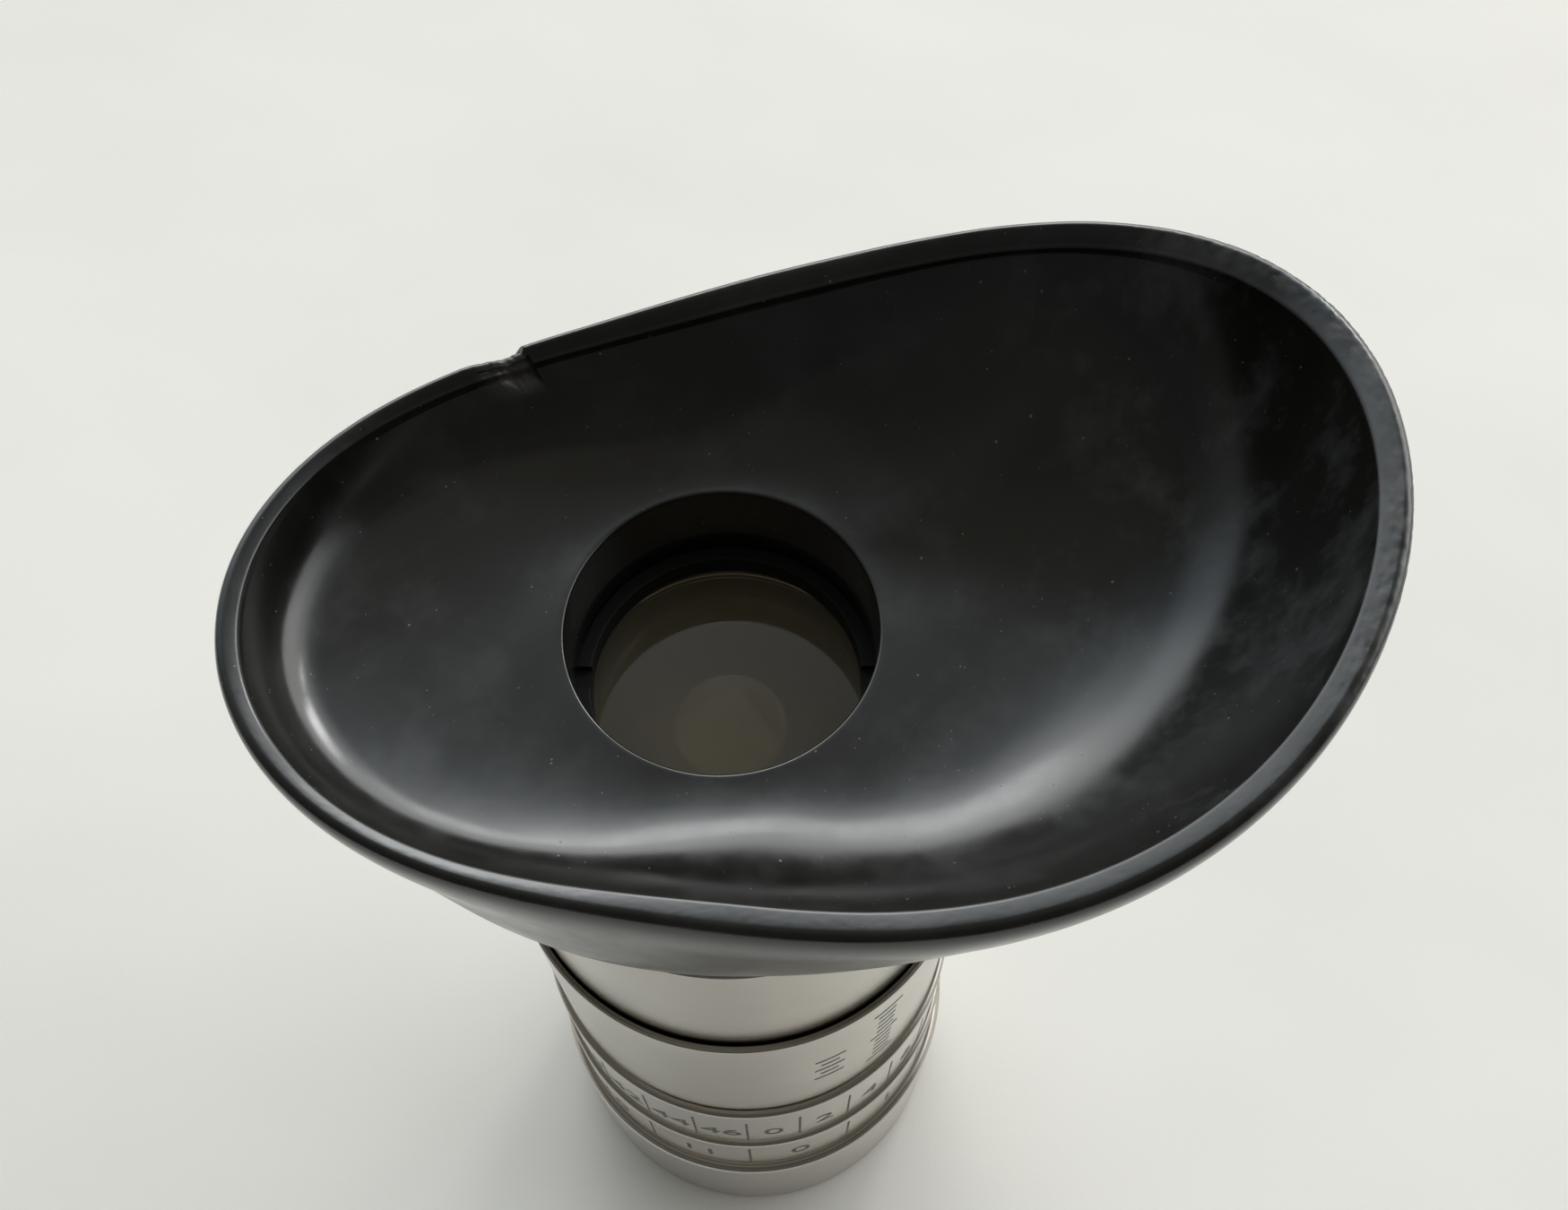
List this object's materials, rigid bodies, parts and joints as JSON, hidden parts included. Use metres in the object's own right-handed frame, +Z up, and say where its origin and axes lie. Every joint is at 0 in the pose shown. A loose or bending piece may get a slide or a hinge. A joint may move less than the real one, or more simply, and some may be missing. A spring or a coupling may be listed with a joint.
{
  "type": "telescope eyepiece",
  "caption": "Focusing telescope eyepiece: 1.25 inch nosepiece, plated graduated rings on a helicoid, deep-set eye lens and a turning egg-shaped winged eyecup.",
  "frame": {"origin": "middle of the nosepiece's lower end, on the barrel's axis", "axes": "+Z up along the barrel's axis from the nosepiece to the eyecup; +X towards the eyecup's broad temple side; -Y towards the viewer of the picture"},
  "size_m": [0.0505, 0.0348, 0.0941],
  "materials": {
    "nickel": "satin nickel plate, lightly worn",
    "blackened": "matt black anodised",
    "steel": "turned steel",
    "brass": "aged turned brass",
    "glass": "polished optical glass",
    "felt": "dense black felt",
    "hard_rubber": "polished black hard rubber, worn at the rim",
    "engraving": "worn black filling of engraved marks"
  },
  "bodies": {
    "barrel": {"nosepiece": "nickel", "baffle": "blackened", "lower_sleeve": "nickel", "lower_screw_a": "steel", "lower_screw_b": "steel", "body_tube": "blackened", "bearing_flange": "brass", "friction_spring": "steel", "field_stop": "blackened", "reticle_holder": "blackened", "reticle": "glass", "reticle_retainer": "brass"},
    "dial": {"dial_ring": "nickel"},
    "focus": {"focus_ring": "nickel", "helicoid_nut": "brass", "focus_screw_a": "steel", "focus_screw_b": "steel"},
    "eye_tube": {"collar": "nickel", "helicoid_sleeve": "brass", "guide_key": "steel", "lens_cell": "blackened", "eye_retainer": "blackened", "eye_flint": "glass", "eye_crown": "glass", "lens_spacer": "blackened", "field_crown": "glass", "field_flint": "glass", "field_retainer": "blackened", "cup_washer": "felt", "snap_ring": "steel"},
    "cup": {"eyecup": "hard_rubber", "cup_bush": "brass"}
  },
  "joints": [
    {"name": "focus_turn", "type": "hinge", "parent": "barrel", "child": "focus", "pos_m": [0, 0, 0.044], "axis": [0, 0, 1], "range_deg": [-150, 150]},
    {"name": "eye_slide", "type": "slide", "parent": "barrel", "child": "eye_tube", "axis": [0, 0, 1], "range_m": [-0.0025, 0.0025]},
    {"name": "dial_turn", "type": "hinge", "parent": "barrel", "child": "dial", "pos_m": [0, 0, 0.029], "axis": [0, 0, 1], "continuous": true},
    {"name": "cup_turn", "type": "hinge", "parent": "eye_tube", "child": "cup", "pos_m": [0, 0, 0.075], "axis": [0, 0, 1], "continuous": true}
  ],
  "couplings": [
    {"joint": "focus_turn", "follows": "eye_slide", "rad_per_m": 1047}
  ]
}
